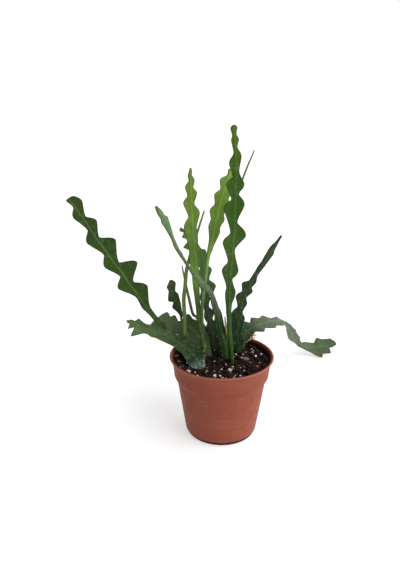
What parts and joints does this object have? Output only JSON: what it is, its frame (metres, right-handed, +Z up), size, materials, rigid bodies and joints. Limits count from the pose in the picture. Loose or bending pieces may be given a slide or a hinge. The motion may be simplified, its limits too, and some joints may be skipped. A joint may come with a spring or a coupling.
{
  "type": "potted cactus",
  "caption": "Potted fishbone cactus: tapered terracotta plastic pot with a collar, dark soil, and flat wavy-lobed green stems, upright, arching and trailing down to the surface.",
  "frame": {"origin": "middle of the pot's underside, on the surface that the pot stands on", "axes": "+Z up along the pot's axis; -Y towards the pictured front; +X to the picture's right, towards the trailing stem"},
  "size_m": [0.3609, 0.2782, 0.3541],
  "materials": {
    "pot": "matt terracotta-coloured moulded plastic",
    "soil": "dark peat mix, rough",
    "green_deep": "fleshy plant skin, satin",
    "green_grey": "fleshy plant skin, satin",
    "green_leaf": "fleshy plant skin, satin",
    "green_light": "fleshy plant skin, satin",
    "green_quill": "fleshy plant skin, satin",
    "green_dark": "fleshy plant skin, satin"
  },
  "bodies": {
    "root": {"pot": "pot", "soil": "soil", "stem_tall": "green_deep", "stem_low_left": "green_grey", "blade_left": "green_leaf", "blade_light_first": "green_light", "blade_light_second": "green_light", "quill_long": "green_quill", "stem_low_back": "green_dark", "blade_small_dark": "green_dark", "quill_short": "green_quill", "blade_grey": "green_grey", "stem_arching": "green_grey", "bud_quill": "green_quill", "quill_back": "green_leaf", "stem_leaning": "green_dark", "stem_trailing": "green_grey"}
  },
  "joints": []
}
